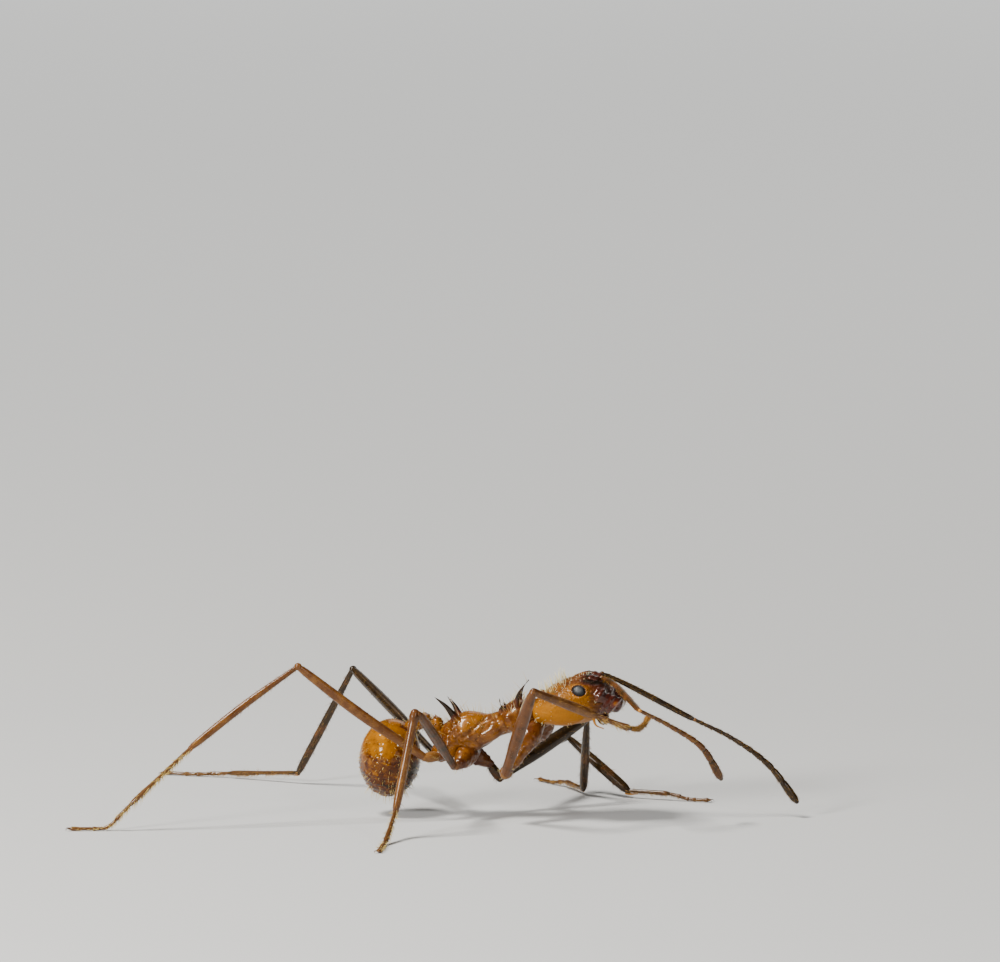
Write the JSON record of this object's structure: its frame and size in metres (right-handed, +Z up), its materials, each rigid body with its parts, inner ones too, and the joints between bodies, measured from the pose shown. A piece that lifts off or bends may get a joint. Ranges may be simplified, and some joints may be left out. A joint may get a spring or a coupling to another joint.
{
  "type": "leafcutter ant",
  "caption": "Life-size leafcutter ant worker, a still museum-style model, in mid-step with one front foot raised to its jaws",
  "frame": {"origin": "the middle of the footprint's box, on the ground that the feet rest on", "axes": "+X ahead, the way the ant walks, +Y to its left, +Z up"},
  "size_m": [0.0266, 0.019, 0.006],
  "materials": {
    "head_shell": "glossy horn-like cuticle, orange brown, darker at the front, amber under the cheek",
    "trunk_shell": "glossy orange-brown cuticle with fine warts",
    "gaster_shell": "glossy amber cuticle, browner on the hind plates",
    "leg_shell": "glossy brown cuticle with fine hairs",
    "foot_shell": "satin golden-brown cuticle under dense golden bristles",
    "feeler_shell": "satin brown cuticle, ringed by its segments",
    "jaw": "very glossy dark red-brown horn",
    "eye": "satin blue-black, finely faceted"
  },
  "bodies": {
    "root": {"antenna_club_left": "feeler_shell", "antenna_club_right": "feeler_shell", "coxa_front_left": "trunk_shell", "coxa_front_right": "trunk_shell", "coxa_hind_left": "trunk_shell", "coxa_hind_right": "trunk_shell", "coxa_middle_left": "trunk_shell", "coxa_middle_right": "trunk_shell", "eye_left": "eye", "eye_right": "eye", "femur_front_left": "leg_shell", "femur_front_right": "leg_shell", "femur_hind_left": "leg_shell", "femur_hind_right": "leg_shell", "femur_middle_left": "leg_shell", "femur_middle_right": "leg_shell", "foot_front_left": "foot_shell", "foot_front_right": "foot_shell", "foot_hind_left": "foot_shell", "foot_hind_right": "foot_shell", "foot_middle_left": "foot_shell", "foot_middle_right": "foot_shell", "funiculus_left": "feeler_shell", "funiculus_right": "feeler_shell", "gaster_front": "gaster_shell", "gaster_tip": "gaster_shell", "head": "head_shell", "heel_front_left": "foot_shell", "heel_front_right": "foot_shell", "heel_hind_left": "foot_shell", "heel_hind_right": "foot_shell", "heel_middle_left": "foot_shell", "heel_middle_right": "foot_shell", "mandible_left": "jaw", "mandible_right": "jaw", "mesothorax": "trunk_shell", "petiole": "trunk_shell", "postpetiole": "trunk_shell", "pronotum": "trunk_shell", "propodeum": "trunk_shell", "scape_left": "feeler_shell", "scape_right": "feeler_shell", "tibia_front_left": "leg_shell", "tibia_front_right": "leg_shell", "tibia_hind_left": "leg_shell", "tibia_hind_right": "leg_shell", "tibia_middle_left": "leg_shell", "tibia_middle_right": "leg_shell"}
  },
  "joints": []
}
